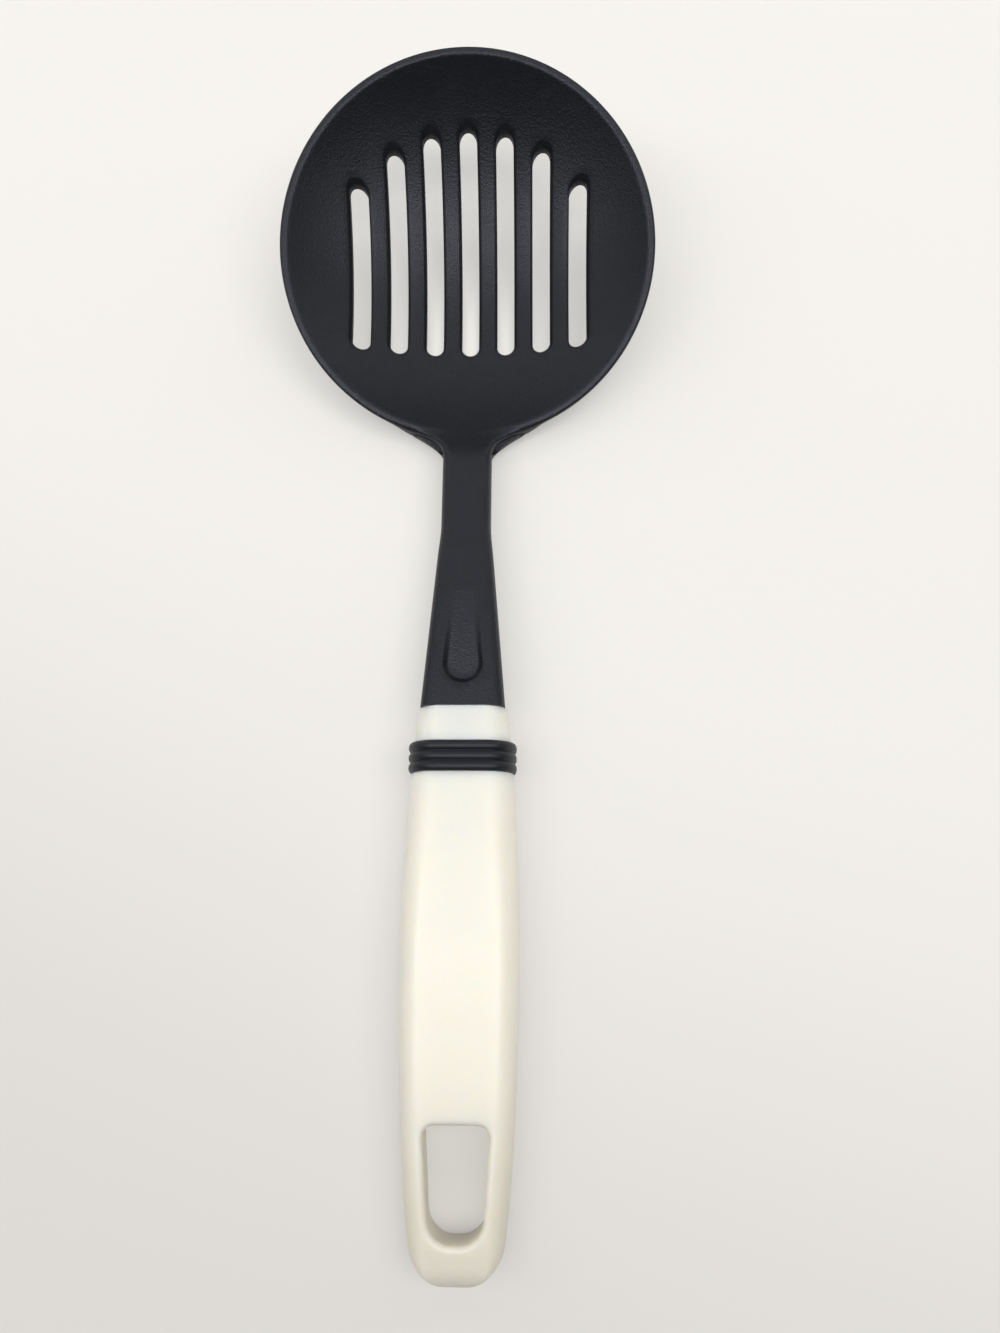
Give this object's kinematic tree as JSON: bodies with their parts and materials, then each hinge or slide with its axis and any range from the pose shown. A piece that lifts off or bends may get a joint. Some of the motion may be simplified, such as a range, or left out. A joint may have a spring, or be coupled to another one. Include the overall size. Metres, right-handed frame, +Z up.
{
  "type": "slotted spoon",
  "caption": "Round slotted serving spoon for lifting and draining food, with a cranked shank, a moulded grip with a ribbed ring, and a hanging hole.",
  "frame": {"origin": "centre of the bounding box at the level of the table that the spoon lies on", "axes": "+Y along the spoon towards the tip of the bowl, +X to the right, +Z up"},
  "size_m": [0.11, 0.3297, 0.0444],
  "materials": {
    "black_nylon": "satin moulded black nylon",
    "ivory_plastic": "smooth ivory moulding with a soft sheen",
    "ring_rubber": "matt black elastomer"
  },
  "bodies": {
    "root": {"spoon_head": "black_nylon", "handle": "ivory_plastic", "grip_ring": "ring_rubber"}
  },
  "joints": []
}
